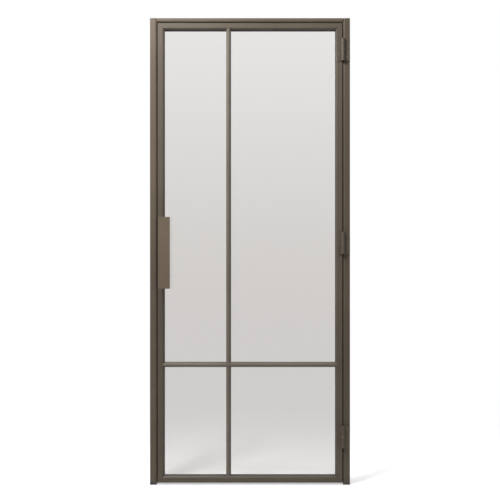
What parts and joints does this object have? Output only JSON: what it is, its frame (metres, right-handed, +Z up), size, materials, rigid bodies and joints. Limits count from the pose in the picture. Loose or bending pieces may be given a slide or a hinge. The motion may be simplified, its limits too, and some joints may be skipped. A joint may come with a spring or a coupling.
{
  "type": "glass door",
  "caption": "Slim metal-framed glass door in its own frame, with glazing bars, a flat pull plate and lift-off hinges; the leaf swings towards the pull side.",
  "frame": {"origin": "on the floor at mid width, half way from the face of the pull to the back of the frame", "axes": "+Z up, +X towards the hinge jamb, +Y away from the pull side; the leaf is drawn closed"},
  "size_m": [0.9, 0.11, 2.1],
  "materials": {
    "frame_coat": "satin bronze powder coat on extruded aluminium",
    "leaf_coat": "satin bronze powder coat on extruded aluminium",
    "hinge_coat": "satin bronze powder coat on steel",
    "pull_coat": "satin bronze powder coat on steel",
    "plated_steel": "zinc-plated steel",
    "wing_screw_steel": "dark bronze plated steel",
    "washer_brass": "turned",
    "bare_aluminium": "mill finish",
    "black_nylon": "moulded, matt",
    "seal_rubber": "extruded, matt",
    "glazing_rubber": "extruded, matt",
    "glass": "polished, lightly grey",
    "magnet": "nickel-plated magnet"
  },
  "bodies": {
    "door_frame": {"lock_jamb": "frame_coat", "hinge_jamb": "frame_coat", "head": "frame_coat", "lock_jamb_foot": "black_nylon", "hinge_jamb_foot": "black_nylon", "head_screws": "plated_steel", "hole_plugs": "black_nylon", "lock_seal": "seal_rubber", "hinge_seal": "seal_rubber", "head_seal": "seal_rubber", "frame_wing_low": "hinge_coat", "frame_wing_middle": "hinge_coat", "frame_wing_top": "hinge_coat", "hinge_pin_low": "plated_steel", "hinge_pin_middle": "plated_steel", "hinge_pin_top": "plated_steel", "hinge_washers": "washer_brass", "frame_wing_screws": "wing_screw_steel", "frame_backing_plates": "plated_steel", "catch_keeper": "plated_steel", "keeper_screws": "plated_steel"},
    "leaf": {"lock_stile": "leaf_coat", "top_rail": "leaf_coat", "hinge_stile": "leaf_coat", "bottom_rail": "leaf_coat", "lock_bead": "leaf_coat", "top_bead": "leaf_coat", "hinge_bead": "leaf_coat", "bottom_bead": "leaf_coat", "corner_cleats": "bare_aluminium", "upright_bar": "leaf_coat", "level_bar_left": "leaf_coat", "level_bar_right": "leaf_coat", "upright_cap": "leaf_coat", "level_cap_left": "leaf_coat", "level_cap_right": "leaf_coat", "bar_spigots": "bare_aluminium", "pane_upper_left": "glass", "pane_upper_right": "glass", "pane_lower_left": "glass", "pane_lower_right": "glass", "rubber_upper_left": "glazing_rubber", "rubber_upper_right": "glazing_rubber", "rubber_lower_left": "glazing_rubber", "rubber_lower_right": "glazing_rubber", "setting_blocks": "black_nylon", "leaf_wing_low": "hinge_coat", "leaf_wing_middle": "hinge_coat", "leaf_wing_top": "hinge_coat", "leaf_wing_screws": "wing_screw_steel", "leaf_backing_plates": "plated_steel", "pull": "pull_coat", "pull_washers": "black_nylon", "pull_screws": "plated_steel", "catch_housing": "black_nylon", "catch_magnet": "magnet"}
  },
  "joints": [
    {"name": "leaf_swing", "type": "hinge", "parent": "door_frame", "child": "leaf", "pos_m": [0.418, -0.0185, 1.05], "axis": [0, 0, 1], "range_deg": [0, 175]}
  ]
}
